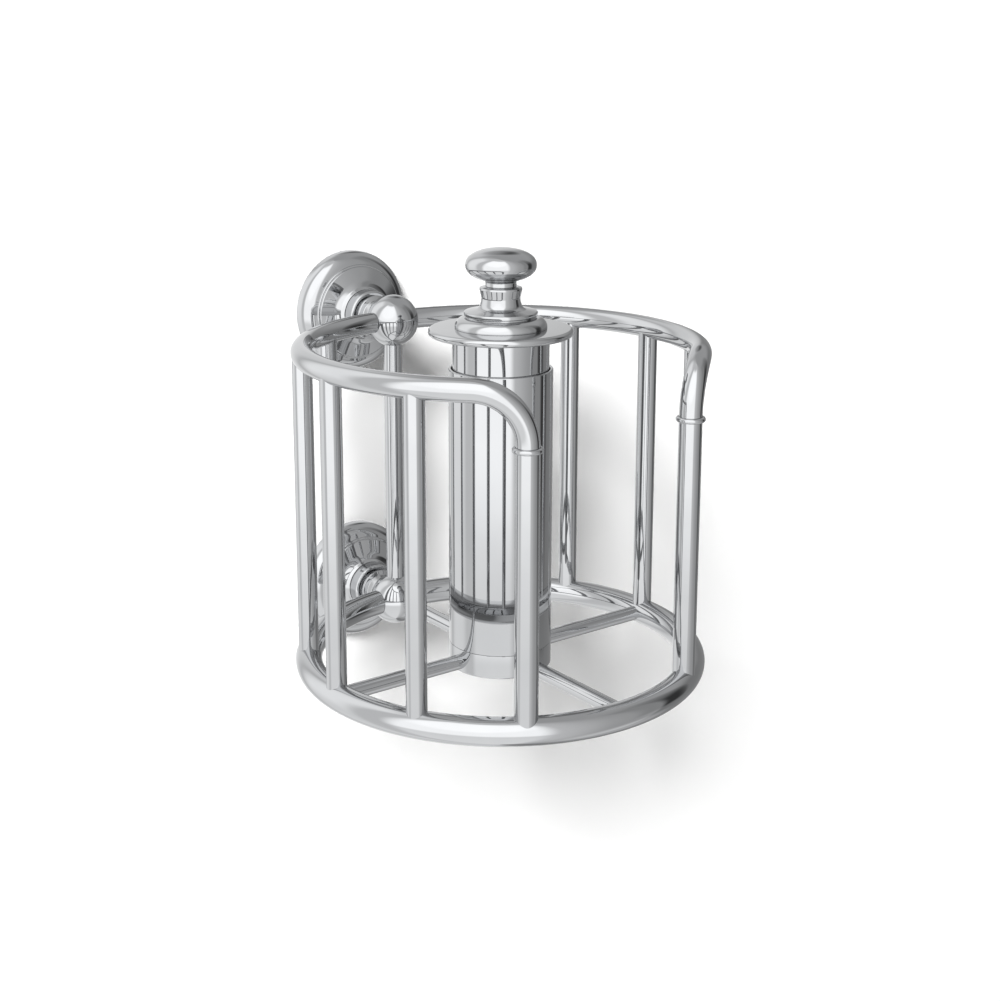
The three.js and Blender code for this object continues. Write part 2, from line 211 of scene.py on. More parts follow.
def mix_finish(name, bright, deep, metal, mirror, haze_most, cloud_scale, stretch, depth):
    """A finish with clouds in its colour and gloss, and fine lines in its surface."""
    finish = bpy.data.materials.new(name)
    finish.use_nodes = True
    nodes, links = finish.node_tree.nodes, finish.node_tree.links
    shader = nodes["Principled BSDF"]
    shader.inputs["Metallic"].default_value = metal
    place = nodes.new("ShaderNodeTexCoord")
    cloud = nodes.new("ShaderNodeGroup")
    cloud.node_tree = clouds
    cloud.inputs["Cloud Scale"].default_value = cloud_scale
    cloud.inputs["Bright"].default_value = (*bright, 1.0)
    cloud.inputs["Deep"].default_value = (*deep, 1.0)
    cloud.inputs["Mirror"].default_value = mirror
    cloud.inputs["Haze"].default_value = haze_most
    fine = nodes.new("ShaderNodeGroup")
    fine.node_tree = lines
    fine.inputs["Stretch"].default_value = stretch
    bump = nodes.new("ShaderNodeBump")
    bump.inputs["Strength"].default_value = depth
    bump.inputs["Distance"].default_value = LINE_DEPTH * MM
    links.new(place.outputs["Object"], cloud.inputs["Place"])
    links.new(place.outputs["Object"], fine.inputs["Place"])
    links.new(cloud.outputs["Colour"], shader.inputs["Base Color"])
    links.new(cloud.outputs["Roughness"], shader.inputs["Roughness"])
    links.new(fine.outputs["Height"], bump.inputs["Height"])
    links.new(bump.outputs["Normal"], shader.inputs["Normal"])
    return finish


CHROME_BRIGHT = (0.525, 0.53, 0.535)
CHROME_DEEP = (0.47, 0.475, 0.485)
rod_chrome = mix_finish(
    "rod_chrome", CHROME_BRIGHT, CHROME_DEEP, METAL,
    mirror=0.02, haze_most=0.045, cloud_scale=70.0, stretch=(900.0, 900.0, 60.0), depth=0.03,
)
turned_chrome = mix_finish(
    "turned_chrome", CHROME_BRIGHT, CHROME_DEEP, METAL,
    mirror=0.015, haze_most=0.035, cloud_scale=90.0, stretch=(120.0, 1500.0, 1500.0), depth=0.02,
)
tube_chrome = mix_finish(
    "tube_chrome", CHROME_BRIGHT, CHROME_DEEP, METAL,
    mirror=0.02, haze_most=0.04, cloud_scale=50.0, stretch=(700.0, 700.0, 25.0), depth=0.03,
)
print("chrome:", rod_chrome.name, turned_chrome.name, tube_chrome.name)

# %% [markdown]
# ## Finishes for what sits inside
# Zinc-plated steel, brass, nylon and rubber are for the pieces that hold the holder together. They are
# never polished, so the same helper gives them a dull surface with deeper lines.

# %% Mix the other finishes
zinc_steel = mix_finish(
    "zinc_steel", (0.52, 0.53, 0.55), (0.36, 0.37, 0.40), METAL,
    mirror=0.3, haze_most=0.5, cloud_scale=160.0, stretch=(1500.0, 60.0, 60.0), depth=0.3,
)
brass = mix_finish(
    "bare_brass", (0.70, 0.55, 0.26), (0.52, 0.38, 0.16), METAL,
    mirror=0.22, haze_most=0.42, cloud_scale=140.0, stretch=(90.0, 90.0, 1800.0), depth=0.3,
)
nylon = mix_finish(
    "white_nylon", (0.80, 0.79, 0.75), (0.70, 0.69, 0.64), NOT_METAL,
    mirror=0.45, haze_most=0.6, cloud_scale=220.0, stretch=(900.0, 900.0, 900.0), depth=0.2,
)
rubber = mix_finish(
    "black_rubber", (0.025, 0.025, 0.026), (0.012, 0.012, 0.013), NOT_METAL,
    mirror=0.7, haze_most=0.9, cloud_scale=400.0, stretch=(1400.0, 1400.0, 1400.0), depth=0.5,
)
print("inside:", zinc_steel.name, brass.name, nylon.name, rubber.name)

# %% [markdown]
# ## How a turned piece is drawn
# The roses, arms, disc and finial are made on a lathe: a cutter follows an outline while the metal
# spins. The outline is given by its corners, each with its own rounding, because real turned edges are
# never sharp and the small roundings catch the light.

# %% Round the corners of an outline
ARC_STEP = radians(7)


def soften(corners):
    """Points along an outline, with every corner rounded by its own radius."""
    outline = []
    last = len(corners) - 1
    for i, (across, along, rounding) in enumerate(corners):
        here = Vector((across, along))
        if rounding == 0 or i in (0, last):
            outline.append(here)
            continue
        to_before = (Vector(corners[i - 1][:2]) - here).normalized()
        to_after = (Vector(corners[i + 1][:2]) - here).normalized()
        half = acos(to_before.dot(to_after)) / 2
        reach = rounding / tan(half)
        centre = here + (to_before + to_after).normalized() * (rounding / sin(half))
        start = here + to_before * reach - centre
        end = here + to_after * reach - centre
        sweep = pi - 2 * half
        steps = max(3, ceil(sweep / ARC_STEP))
        for k in range(steps + 1):
            part = sweep * k / steps
            outline.append(centre + (start * sin(sweep - part) + end * sin(part)) / sin(sweep))
    return outline


square_corner = [(0.0, 0.0, 0), (1.0, 0.0, 0.5), (1.0, 1.0, 0)]
print("a square corner becomes", len(soften(square_corner)) - 2, "points")

# %% [markdown]
# Blender's Spin does the lathe's work with a drawn wire: it turns the wire round an axis in small steps and
# joins the steps with faces. The wire is pulled out of one point, place by place, and after the full turn
# the first and the last step are merged, so that the piece is closed.

# %% Draw a wire and spin it
SMOOTH_BELOW = radians(30)
WELD = 0.002
TURN_STEPS = 120
FINE_STEPS = 160


def draw_wire(places):
    """A wire through the places, pulled out of one point with extrude."""
    pick(None)
    bpy.ops.mesh.primitive_plane_add(size=MM, location=places[0])
    bpy.ops.object.mode_set(mode="EDIT")
    bpy.ops.mesh.select_mode(type="VERT")
    bpy.ops.mesh.merge(type="CENTER")
    for before, after in zip(places, places[1:]):
        bpy.ops.mesh.extrude_region_move(TRANSFORM_OT_translate={"value": after - before})
    bpy.ops.mesh.select_all(action="SELECT")


def set_down(name):
    """Leaves edit mode and gives the new piece its name, its place in its mesh and smooth faces."""
    bpy.ops.object.mode_set(mode="OBJECT")
    piece = bpy.context.object
    piece.name = piece.data.name = name
    bpy.ops.object.transform_apply(location=True, rotation=True, scale=True)
    bpy.ops.object.shade_smooth_by_angle(angle=SMOOTH_BELOW)
    return piece


def spin_round(name, places, centre, axis, steps):
    """Spins a drawn wire into a closed turned piece."""
    draw_wire(places)
    bpy.ops.mesh.spin(steps=steps, angle=2 * pi, center=centre, axis=axis)
    bpy.ops.mesh.select_all(action="SELECT")
    bpy.ops.mesh.remove_doubles(threshold=WELD * MM)
    bpy.ops.mesh.delete_loose(use_verts=True, use_edges=True, use_faces=False)
    bpy.ops.mesh.select_all(action="SELECT")
    bpy.ops.mesh.normals_make_consistent(inside=False)
    return set_down(name)


def turn_upright(name, corners, steps=TURN_STEPS):
    """A piece turned round the cage axis; its corners are radius, height and rounding."""
    places = [CAGE_AXIS + Vector((r, 0.0, h)) * MM for r, h in soften(corners)]
    return spin_round(name, places, CAGE_AXIS, (0.0, 0.0, 1.0), steps)


def turn_from_wall(name, corners, level, steps=TURN_STEPS):
    """A piece turned round an arm; its corners are radius, distance from the wall and rounding."""
    places = [Vector((r, -d, level)) * MM for r, d in soften(corners)]
    return spin_round(name, places, Vector((0.0, 0.0, level)) * MM, (0.0, 1.0, 0.0), steps)


print("a turned piece has", TURN_STEPS, "steps, a wide one", FINE_STEPS)

# %% [markdown]
# A finished piece takes the place of the solid that it covers. It also rides on a body, so that the spindle
# lifts out with everything that belongs to it while the cage stays on the wall.

# %% Fit a piece to its body
def fit(piece, body, finish, *nodes):
    """The piece gets its finish, rides on its body and stands for the solids that it covers."""
    piece.data.materials.clear()
    piece.data.materials.append(finish)
    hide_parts(*nodes)
    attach(piece, body)
    print(piece.name, "has", len(piece.data.polygons), "faces")


# %% [markdown]
# ## Copies
# The cage repeats itself, so a bar or a collar is modelled once and its copies are turned round the
# cage axis, mirrored or moved down. A copy has a mesh of its own, because its place is kept in the mesh.

# %% Copy a piece
def duplicate(piece, name):
    """A copy of a piece with a mesh of its own, left selected."""
    pick(piece)
    bpy.ops.object.duplicate()
    copy = bpy.context.object
    copy.name = copy.data.name = name
    return copy


def copy_round(piece, name, angle):
    """A copy turned round the cage axis."""
    copy = duplicate(piece, name)
    bpy.ops.transform.rotate(value=-radians(angle), orient_axis="Z", center_override=CAGE_AXIS)
    bpy.ops.object.transform_apply(location=True, rotation=True, scale=True)
    return copy


def copy_across(piece, name):
    """A copy mirrored from the left side to the right."""
    copy = duplicate(piece, name)
    bpy.ops.transform.resize(value=(-1.0, 1.0, 1.0), center_override=(0.0, 0.0, 0.0))
    bpy.ops.object.transform_apply(location=True, rotation=True, scale=True)
    bpy.ops.object.mode_set(mode="EDIT")
    bpy.ops.mesh.select_all(action="SELECT")
    bpy.ops.mesh.normals_make_consistent(inside=False)
    bpy.ops.object.mode_set(mode="OBJECT")
    return copy


def copy_down(piece, name):
    """A copy moved from the upper mount to the lower one."""
    copy = duplicate(piece, name)
    bpy.ops.transform.translate(value=(0.0, 0.0, (RING_LEVEL - RAIL_LEVEL) * MM))
    bpy.ops.object.transform_apply(location=True, rotation=True, scale=True)
    return copy


# %% [markdown]
# ## Coped ends
# Where one rod is soldered to another its end is cut to fit round it, which metalworkers call coping. A
# Boolean modifier makes that cut, it is applied at once, and corners that the cut left in the same place
# are merged.

# %% Cope a piece to others
CUT_WELD = 0.0005


def cope(piece, *others):
    """Cuts a piece so that it fits round the others."""
    pick(piece)
    for other in others:
        bpy.ops.object.modifier_add(type="BOOLEAN")
        cut = piece.modifiers[-1]
        cut.operation = "DIFFERENCE"
        cut.solver = "EXACT"
        cut.object = other
        bpy.ops.object.modifier_apply(modifier=cut.name)
        print(piece.name, "coped to", other.name, "leaves", len(piece.data.polygons), "faces")
    bpy.ops.object.mode_set(mode="EDIT")
    bpy.ops.mesh.select_all(action="SELECT")
    bpy.ops.mesh.remove_doubles(threshold=CUT_WELD * MM)
    bpy.ops.object.mode_set(mode="OBJECT")
    bpy.ops.object.shade_smooth_by_angle(angle=SMOOTH_BELOW)


# %% [markdown]
# ## The bottom ring
# The heaviest rod of the cage is the ring that the rolls stand on. It starts and ends inside the lower
# ball at the back. A torus would do, but a filled circle that is spun round the axis keeps its two real
# ends, and the same circle serves for the top rail.

# %% Bend the bottom ring
SOCKET_ANGLE = 4.28
RING_THICKNESS = 10.4
RING_STEPS = 180
ROD_SIDES = 56


def rod_section(angle, level, thickness):
    """A filled circle across the rod at one place on the cage, left in edit mode."""
    pick(None)
    bpy.ops.mesh.primitive_circle_add(
        vertices=ROD_SIDES,
        radius=thickness / 2 * MM,
        fill_type="NGON",
        location=on_cage(angle, level),
        rotation=(radians(90), 0.0, radians(90 + angle)),
    )
    bpy.ops.object.mode_set(mode="EDIT")
    bpy.ops.mesh.select_all(action="SELECT")


def bend_round(angle, steps):
    """Sweeps the selected end of a rod round the cage axis; Spin counts angles the other way."""
    bpy.ops.mesh.spin(steps=steps, angle=-radians(angle), center=CAGE_AXIS, axis=(0.0, 0.0, 1.0))


def close_rod(name):
    """Points the faces outwards and leaves edit mode."""
    bpy.ops.mesh.select_all(action="SELECT")
    bpy.ops.mesh.remove_doubles(threshold=WELD * MM)
    bpy.ops.mesh.normals_make_consistent(inside=False)
    return set_down(name)


rod_section(-180 + SOCKET_ANGLE, RING_LEVEL, RING_THICKNESS)
bend_round(360 - 2 * SOCKET_ANGLE, RING_STEPS)
bottom_ring = close_rod("polished_bottom_ring")
fit(bottom_ring, "cage", rod_chrome, "bottom_ring")

# %% [markdown]
# ## The top rail
# Each half of the rail leaves the upper ball, follows the cage round to the front and bends down into
# a front post. The level part is one sweep round the axis. The bend keeps to the cage's roundness while
# it tips over, so it is made in short steps: the end is pulled out, turned to face front, tipped and
# turned back, and only turns about the main axes are needed.

# %% Bend the top rail
RAIL_THICKNESS = 8.6
POST_ANGLE = 30.0
BEND_RADIUS = 19.0
RAIL_TAIL = 1.4
RAIL_STEPS = 84
BEND_STEPS = 20
bend_angle = BEND_RADIUS / CAGE_RADIUS / radians(1)
bend_start = POST_ANGLE + bend_angle


def turn_end(axis, degrees, about):
    """Turns the selected end of a rod about a main axis through a point."""
    bpy.ops.transform.rotate(
        value=-radians(degrees), orient_axis=axis, orient_type="GLOBAL", center_override=about
    )


rod_section(-180 + SOCKET_ANGLE, RAIL_LEVEL, RAIL_THICKNESS)
bend_round(180 - SOCKET_ANGLE - bend_start, RAIL_STEPS)
angle_now = -bend_start
place_now = on_cage(angle_now, RAIL_LEVEL)
for step in range(1, BEND_STEPS + 1):
    tip = pi / 2 * step / BEND_STEPS
    angle_next = -bend_start + bend_angle * sin(tip)
    place_next = on_cage(angle_next, RAIL_LEVEL - BEND_RADIUS * (1 - cos(tip)))
    bpy.ops.mesh.extrude_region_move(TRANSFORM_OT_translate={"value": place_next - place_now})
    turn_end("Z", -angle_now, place_next)
    turn_end("Y", 90 / BEND_STEPS, place_next)
    turn_end("Z", angle_next, place_next)
    angle_now, place_now = angle_next, place_next
bpy.ops.mesh.extrude_region_move(TRANSFORM_OT_translate={"value": (0.0, 0.0, -RAIL_TAIL * MM)})
rail_left = close_rod("polished_rail_left")
rail_right = copy_across(rail_left, "polished_rail_right")
fit(rail_left, "cage", rod_chrome, "top_rail_left")
fit(rail_right, "cage", rod_chrome, "top_rail_right")

# %% [markdown]
# ## The bars
# Eight thinner bars stand between the rail and the ring. One cylinder, long enough to reach into both,
# is coped to them. The cage is the same all the way round, so the other seven are copies that are turned
# into place.

# %% Stand the bars
BAR_THICKNESS = 7.7
BAR_SIDES = 48
BAR_ANGLES = (60, 90, 120, 150)


def upright_rod(angle, foot, head, thickness):
    """A cylinder that stands on the cage circle."""
    pick(None)
    bpy.ops.mesh.primitive_cylinder_add(
        vertices=BAR_SIDES,
        radius=thickness / 2 * MM,
        depth=(head - foot) * MM,
        location=on_cage(angle, (head + foot) / 2),
        rotation=(0.0, 0.0, radians(angle)),
    )


upright_rod(-BAR_ANGLES[0], RING_LEVEL, RAIL_LEVEL, BAR_THICKNESS)
first_bar = set_down("polished_bar_left_60")
cope(first_bar, rail_left, bottom_ring)
for hand, side in (("left", -1), ("right", 1)):
    for angle in BAR_ANGLES:
        bar = first_bar
        if side * angle != -BAR_ANGLES[0]:
            bar = copy_round(first_bar, f"polished_bar_{hand}_{angle}", side * angle + BAR_ANGLES[0])
        fit(bar, "cage", rod_chrome, f"cage_bar_{hand}_{angle}")

# %% [markdown]
# ## Front posts
# A front post carries the bent end of each rail. It is as thick as the rail, so the two read as one rod. It
# is a cylinder coped to the ring, and its head stops just short of the rail, where the joint is.

# %% Stand the front posts
RAIL_END = RAIL_LEVEL - BEND_RADIUS - RAIL_TAIL
JOINT_GAP = 0.3
upright_rod(-POST_ANGLE, RING_LEVEL, RAIL_END - JOINT_GAP, RAIL_THICKNESS)
post_left = set_down("polished_front_post_left")
cope(post_left, bottom_ring)
post_right = copy_round(post_left, "polished_front_post_right", 2 * POST_ANGLE)
fit(post_left, "cage", rod_chrome, "front_post_left")
fit(post_right, "cage", rod_chrome, "front_post_right")

# %% [markdown]
# ## The collars
# A small collar, a half-round band, hides each joint between rail and post. It is turned round the post,
# and not bent like a torus, because a turned outline can have a bore. Its roundings are nearly half its
# height, so that it reads as a bead with a fine line above and below.

# %% Turn the collars
COLLAR_HEIGHT = 2.0
COLLAR_RADIUS = 5.45
COLLAR_ROUNDING = 0.92
COLLAR_GAP = 0.05
COLLAR_EDGE = 0.1
COLLAR_STEPS = 64
collar_bore = RAIL_THICKNESS / 2 + COLLAR_GAP
collar_foot = RAIL_END - COLLAR_HEIGHT / 2
collar_head = RAIL_END + COLLAR_HEIGHT / 2
collar_corners = [
    (collar_bore, RAIL_END, 0),
    (collar_bore, collar_foot, COLLAR_EDGE),
    (COLLAR_RADIUS, collar_foot, COLLAR_ROUNDING),
    (COLLAR_RADIUS, collar_head, COLLAR_ROUNDING),
    (collar_bore, collar_head, COLLAR_EDGE),
    (collar_bore, RAIL_END, 0),
]
post_axis = on_cage(-POST_ANGLE, RAIL_LEVEL)
collar_places = [post_axis + Vector((r, 0.0, h)) * MM for r, h in soften(collar_corners)]
collar_left = spin_round(
    "polished_collar_left", collar_places, post_axis, (0.0, 0.0, 1.0), COLLAR_STEPS
)
collar_right = copy_round(collar_left, "polished_collar_right", 2 * POST_ANGLE)
fit(collar_left, "cage", turned_chrome, "post_collar_left")
fit(collar_right, "cage", turned_chrome, "post_collar_right")

# %% [markdown]
# ## The roses
# Each rose is a wide turned cap over the wall plate. From the wall outwards it has a short plain side, a
# wide quarter-round, two small steps and a shallow dish that rises to the nose. Its outline is closed
# round the inside too, so the cap is a thin shell with a hole for the arm, like the real one.

# %% Turn the roses
ROSE_RADIUS = 25.7
ROSE_CAVITY = 23.3
ROSE_NOSE = 14.0
ARM_HOLE = 5.3
rose_corners = [
    (ROSE_CAVITY, 0.0, 0),
    (ROSE_RADIUS, 0.0, 0.2),
    (ROSE_RADIUS, 7.0, 5.8),
    (20.4, 8.4, 0.1),
    (20.4, 9.1, 0.5),
    (19.6, 9.1, 0.1),
    (19.6, 9.8, 0.5),
    (13.4, 11.4, 6.0),
    (11.2, 12.7, 1.5),
    (10.5, ROSE_NOSE, 0.3),
    (ARM_HOLE, ROSE_NOSE, 0.2),
    (ARM_HOLE, 11.4, 0.2),
    (11.0, 10.4, 1.0),
    (18.0, 7.8, 1.0),
    (22.2, 5.3, 1.0),
    (ROSE_CAVITY, 0.0, 0),
]
upper_rose = turn_from_wall("polished_upper_rose", rose_corners, RAIL_LEVEL, FINE_STEPS)
print("the rose is", 2 * ROSE_RADIUS, "mm wide and", ROSE_NOSE, "mm deep")

# %% [markdown]
# A small screw holds each rose on its wall plate from below. Its hole is drilled through the side of the
# rose before the rose is copied: a thin cylinder is the drill, and it is thrown away after the cut.

# %% Drill for the locking screw
DRILL_RADIUS = 1.5
DRILL_LENGTH = 4.7
DRILL_SIDES = 32
DRILL_DROP = 24.35
SCREW_DEPTH = 2.0
drill_place = Vector((0.0, -SCREW_DEPTH, RAIL_LEVEL - DRILL_DROP)) * MM
pick(None)
bpy.ops.mesh.primitive_cylinder_add(
    vertices=DRILL_SIDES, radius=DRILL_RADIUS * MM, depth=DRILL_LENGTH * MM, location=drill_place
)
drill = bpy.context.object
cope(upper_rose, drill)
pick(drill)
bpy.ops.object.delete()
lower_rose = copy_down(upper_rose, "polished_lower_rose")
fit(upper_rose, "cage", turned_chrome, "upper_rosette")
fit(lower_rose, "cage", turned_chrome, "lower_rosette")

# %% [markdown]
# ## The arms
# An arm comes out of the nose of its rose with a wide bead, a groove, a small ring and a neck that runs
# into the ball. It is one turned piece, so one outline holds all of it. Its end is cut to the ball's shape
# once the ball is there.

# %% Turn the upper arm
ARM_RADIUS = 5.0
ARM_FOOT = 4.8
ARM_HEAD = 29.6
BEAD_RADIUS = 10.4
BEAD_FOOT = 14.3
GROOVE_RADIUS = 7.5
NECK_RING_RADIUS = 8.7
NECK_RADIUS = 6.3
arm_corners = [
    (0.0, ARM_FOOT, 0),
    (ARM_RADIUS, ARM_FOOT, 0.3),
    (ARM_RADIUS, BEAD_FOOT, 0.2),
    (BEAD_RADIUS, BEAD_FOOT, 0.3),
    (BEAD_RADIUS, 19.6, 1.0),
    (GROOVE_RADIUS, 19.7, 0.15),
    (GROOVE_RADIUS, 21.1, 0.15),
    (NECK_RING_RADIUS, 21.2, 0.3),
    (NECK_RING_RADIUS, 22.3, 0.4),
    (6.9, 22.9, 0.4),
    (NECK_RADIUS, 25.0, 2.0),
    (NECK_RADIUS, ARM_HEAD, 0),
    (0.0, ARM_HEAD, 0),
]
upper_arm = turn_from_wall("polished_upper_arm", arm_corners, RAIL_LEVEL)
print("the arm is", round(ARM_HEAD - ARM_FOOT, 1), "mm long")

# %% [markdown]
# ## The back bar
# One more bar stands at the back, from ball to ball. It ends in sockets and not at a rod, so it needs no
# coping: its two rims are bevelled instead, as a rod's ends are before it is pushed home.

# %% Stand the back bar
SOCKET_END = 5.6
BAR_EASE = 0.4
EASE_STEPS = 3
NEARLY_LEVEL = 0.9
bar_head = RAIL_LEVEL - SOCKET_END
bar_foot = RING_LEVEL + SOCKET_END


def ease_rims(piece, width):
    """Bevels the two end rims of an upright rod."""
    pick(piece)
    bpy.ops.object.mode_set(mode="EDIT")
    bpy.ops.mesh.select_mode(type="FACE")
    bpy.ops.mesh.select_all(action="DESELECT")
    bpy.ops.object.mode_set(mode="OBJECT")
    for face in piece.data.polygons:
        face.select = abs(face.normal.z) > NEARLY_LEVEL
    bpy.ops.object.mode_set(mode="EDIT")
    bpy.ops.mesh.bevel(offset=width * MM, segments=EASE_STEPS)
    bpy.ops.object.mode_set(mode="OBJECT")


upright_rod(180, bar_foot, bar_head, BAR_THICKNESS)
back_bar = set_down("polished_back_bar")
ease_rims(back_bar, BAR_EASE)
fit(back_bar, "cage", rod_chrome, "back_bar")

# %% [markdown]
# ## The balls
# A polished ball joins each arm to the cage. A sphere is all it needs. The rods end in sockets inside it,
# and here the ball is cut by the rods that it holds, so that nothing lies inside anything else and the
# joints stay as fine as solder makes them. The lower ball waits for its spoke.

# %% Round the balls
BALL_RADIUS = 10.8
BALL_SEGMENTS = 112
pick(None)
bpy.ops.mesh.primitive_uv_sphere_add(
    segments=BALL_SEGMENTS,
    ring_count=BALL_SEGMENTS // 2,
    radius=BALL_RADIUS * MM,
    location=on_cage(180, RAIL_LEVEL),
)
upper_ball = set_down("polished_upper_ball")
cope(upper_arm, upper_ball)
lower_arm = copy_down(upper_arm, "polished_lower_arm")
lower_ball = copy_down(upper_ball, "polished_lower_ball")
cope(upper_ball, rail_left, rail_right, back_bar)
for piece, node in ((upper_arm, "upper_arm"), (lower_arm, "lower_arm"), (upper_ball, "upper_ball")):
    fit(piece, "cage", turned_chrome, node)

# %% [markdown]
# ## The spokes
# Four thin spokes run from the ring to a hub under the post. A spoke is coped to the ring at one end and
# sits in a hole of the hub at the other, and the back one ends in the lower ball instead. One cylinder is
# made for each kind, and the others are copies that are turned into place.

# %% Set the spokes
SPOKE_THICKNESS = 5.8
SPOKE_SIDES = 40
HUB_SOCKET = 13.7


def spoke_rod(outer, name):
    """A cylinder that lies from the hub towards the front."""
    pick(None)
    bpy.ops.mesh.primitive_cylinder_add(
        vertices=SPOKE_SIDES,
        radius=SPOKE_THICKNESS / 2 * MM,
        depth=(outer - HUB_SOCKET) * MM,
        location=on_cage(0, RING_LEVEL, (outer + HUB_SOCKET) / 2),
        rotation=(radians(90), 0.0, 0.0),
    )
    return set_down(name)


front_spoke = spoke_rod(CAGE_RADIUS, "polished_spoke_front")
cope(front_spoke, bottom_ring)
spokes = {"front": front_spoke}
for name, angle in (("right", 90), ("left", -90)):
    spokes[name] = copy_round(front_spoke, f"polished_spoke_{name}", angle)
plain_spoke = spoke_rod(CAGE_RADIUS - SOCKET_END, "polished_spoke_plain")
spokes["back"] = copy_round(plain_spoke, "polished_spoke_back", 180)
bpy.data.objects.remove(plain_spoke)
for name, spoke in spokes.items():
    fit(spoke, "cage", rod_chrome, f"spoke_{name}")
cope(lower_ball, bottom_ring, back_bar, spokes["back"])
fit(lower_ball, "cage", turned_chrome, "lower_ball")

# %% [markdown]
# ## The hub
# The hub closes the post from below and holds the spokes. It is turned, with a rounded lower edge and a
# spigot that the post slides over, and it is coped to the spokes last, which leaves it four holes.

# %% Turn the hub
POST_RADIUS = 20.0
HUB_FOOT = RING_LEVEL - 4.0
HUB_SEAM = RING_LEVEL + 5.4
SPIGOT_RADIUS = 18.6
SPIGOT_HEAD = HUB_SEAM + 5.9
hub_corners = [
    (0.0, HUB_FOOT, 0),
    (POST_RADIUS, HUB_FOOT, 0.9),
    (POST_RADIUS, HUB_SEAM, 0.12),
    (SPIGOT_RADIUS, HUB_SEAM, 0.1),
    (SPIGOT_RADIUS, SPIGOT_HEAD, 0.5),
    (0.0, SPIGOT_HEAD, 0),
]
hub = turn_upright("polished_hub", hub_corners)
cope(hub, *spokes.values())
fit(hub, "cage", turned_chrome, "post_hub")

# %% [markdown]
# ## The roll post and the spindle tube
# Two thin tubes slide in each other. The outer one is fixed to the hub and its rim is eased so that the
# spindle finds its way in. The inner one belongs to the spindle and shows between the rim and the disc.
# Both are closed outlines, spun, so they keep the wall of a real tube.

# %% Draw the tubes
POST_BORE = 18.9
SEAM_GAP = 0.1
POST_FOOT = HUB_SEAM + SEAM_GAP
POST_RIM = -7.6
post_corners = [
    (POST_BORE, POST_FOOT, 0),
    (POST_RADIUS, POST_FOOT, 0.12),
    (POST_RADIUS, POST_RIM, 0.5),
    (POST_BORE, POST_RIM, 0.3),
    (POST_BORE, POST_FOOT, 0),
]
roll_post = turn_upright("polished_roll_post", post_corners, FINE_STEPS)
fit(roll_post, "cage", tube_chrome, "roll_post")

TUBE_RADIUS = 18.5
TUBE_BORE = 17.3
TUBE_FOOT = -105.4
TUBE_HEAD = 4.7
tube_corners = [
    (TUBE_BORE, TUBE_FOOT, 0),
    (TUBE_RADIUS, TUBE_FOOT, 0.3),
    (TUBE_RADIUS, TUBE_HEAD, 0.2),
    (TUBE_BORE, TUBE_HEAD, 0.2),
    (TUBE_BORE, TUBE_FOOT, 0),
]
spindle_tube = turn_upright("polished_spindle_tube", tube_corners, FINE_STEPS)
fit(spindle_tube, "spindle", tube_chrome, "spindle_tube")

# %% [markdown]
# ## The disc
# The disc keeps the rolls in line and gives the spindle its brim. Its edge is nearly a half-round. It is
# the widest turned piece, so it gets the most steps, and its rim stays round in a close view.

# %% Turn the disc
STUD_BORE = 3.3
DISC_STEPS = 180
DISC_RADIUS = 27.65
DISC_FOOT = 5.0
DISC_HEAD = 7.9
DISC_EDGE = 1.4
disc_corners = [
    (STUD_BORE, DISC_FOOT, 0),
    (DISC_RADIUS, DISC_FOOT, DISC_EDGE),
    (DISC_RADIUS, DISC_HEAD, DISC_EDGE),
    (STUD_BORE, DISC_HEAD, 0.2),
    (STUD_BORE, DISC_FOOT, 0),
]
disc = turn_upright("polished_disc", disc_corners, DISC_STEPS)
fit(disc, "spindle", turned_chrome, "spindle_disc")

# %% [markdown]
# ## The foot of the finial
# On the disc stands the finial: a quarter-round foot, a step, a hollow that draws in to the neck and a small
# collar. The hollow is two corners with wide roundings that run into each other.

# %% Turn the foot of the finial
REST_GAP = 0.02
FINIAL_FOOT = DISC_HEAD + REST_GAP
FINIAL_RADIUS = 17.6
STEP_RADIUS = 14.0
FINIAL_COLLAR = 8.1
FINIAL_HEAD = 23.7
foot_corners = [
    (STUD_BORE, FINIAL_FOOT, 0),
    (FINIAL_RADIUS, FINIAL_FOOT, 0.1),
    (FINIAL_RADIUS, 12.0, 3.7),
    (13.3, 12.0, 0.12),
    (13.3, 12.5, 0.12),
    (STEP_RADIUS, 12.6, 0.4),
    (STEP_RADIUS, 14.2, 0.6),
    (8.2, 15.3, 2.6),
    (7.3, 19.0, 4.0),
    (FINIAL_COLLAR, 22.5, 0.5),
    (FINIAL_COLLAR, 23.3, 0.4),
    (6.6, FINIAL_HEAD, 0.2),
    (STUD_BORE, FINIAL_HEAD, 0.2),
    (STUD_BORE, FINIAL_FOOT, 0),
]
finial_foot = turn_upright("polished_finial_foot", foot_corners)
fit(finial_foot, "spindle", turned_chrome, "finial_base")

# %% [markdown]
# ## The knob
# A flattened knob tops the finial, to lift the spindle by. It is an oval, so its outline is stepped round
# an ellipse before it is spun. A true ellipse looks thin at the shoulders, so its points are pushed out a
# little.

# %% Turn the knob
KNOB_RADIUS = 13.5
KNOB_HALF_HEIGHT = 6.4
KNOB_CENTRE = 31.8
KNOB_FULLNESS = 2.0 / 2.2
KNOB_FOOT = FINIAL_HEAD + REST_GAP
KNOB_NECK = 5.9
STUD_HOLE_END = 30.8


def fuller(share):
    """Pushes a point of an oval outwards, so that the oval gets fuller shoulders."""
    return abs(share) ** KNOB_FULLNESS * (1 if share > 0 else -1)


